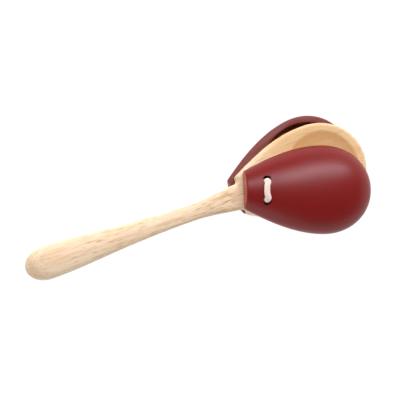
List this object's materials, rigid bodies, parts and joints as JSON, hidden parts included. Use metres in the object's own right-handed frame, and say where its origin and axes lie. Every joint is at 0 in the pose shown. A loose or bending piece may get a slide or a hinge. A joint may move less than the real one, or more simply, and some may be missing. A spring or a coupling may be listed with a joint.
{
  "type": "handle castanet",
  "caption": "Wooden handle castanet: a turned handle ends in a dished clapper paddle, with a hollow domed shell laced to each face by elastic cord.",
  "frame": {"origin": "on the handle's axis, in the middle of the grip", "axes": "+X along the handle towards the tip of the head, +Z out of the paddle's front face, +Y to the left seen from the butt"},
  "size_m": [0.1912, 0.065, 0.0402],
  "materials": {
    "pale_hardwood": "fine-sanded pale hardwood, clear satin",
    "red_lacquer": "satin dark red lacquer on turned hardwood",
    "white_elastic": "matte off-white braided elastic"
  },
  "bodies": {
    "handle": {"handle_with_paddle": "pale_hardwood"},
    "front_lacing": {"elastic_front_left_leg": "white_elastic", "elastic_front_right_leg": "white_elastic"},
    "front_clapper": {"front_shell": "red_lacquer", "elastic_front_stitch": "white_elastic"},
    "back_lacing": {"elastic_back_left_leg": "white_elastic", "elastic_back_right_leg": "white_elastic"},
    "back_clapper": {"back_shell": "red_lacquer", "elastic_back_left_end": "white_elastic", "elastic_back_right_end": "white_elastic", "elastic_knot": "white_elastic"}
  },
  "joints": [
    {"name": "front_swivel", "type": "hinge", "parent": "handle", "child": "front_lacing", "pos_m": [0.0709, -0.0007, 0], "axis": [0, 0, 1], "range_deg": [-4, 40], "deforming": ["elastic_front_left_leg", "elastic_front_right_leg"]},
    {"name": "front_clap", "type": "hinge", "parent": "front_lacing", "child": "front_clapper", "pos_m": [0.0611, 0.00247, 0.0053], "axis": [-0.3074, -0.9516, 0], "range_deg": [0, 30], "deforming": ["elastic_front_left_leg", "elastic_front_right_leg"]},
    {"name": "back_swivel", "type": "hinge", "parent": "handle", "child": "back_lacing", "pos_m": [0.0694, 0.0019, 0], "axis": [0, 0, 1], "range_deg": [-30, 14], "deforming": ["elastic_back_left_leg", "elastic_back_right_leg"]},
    {"name": "back_clap", "type": "hinge", "parent": "back_lacing", "child": "back_clapper", "pos_m": [0.05921, 0.0004, -0.0053], "axis": [-0.1461, 0.9893, 0], "range_deg": [0, 30], "deforming": ["elastic_back_left_leg", "elastic_back_right_leg"]}
  ]
}
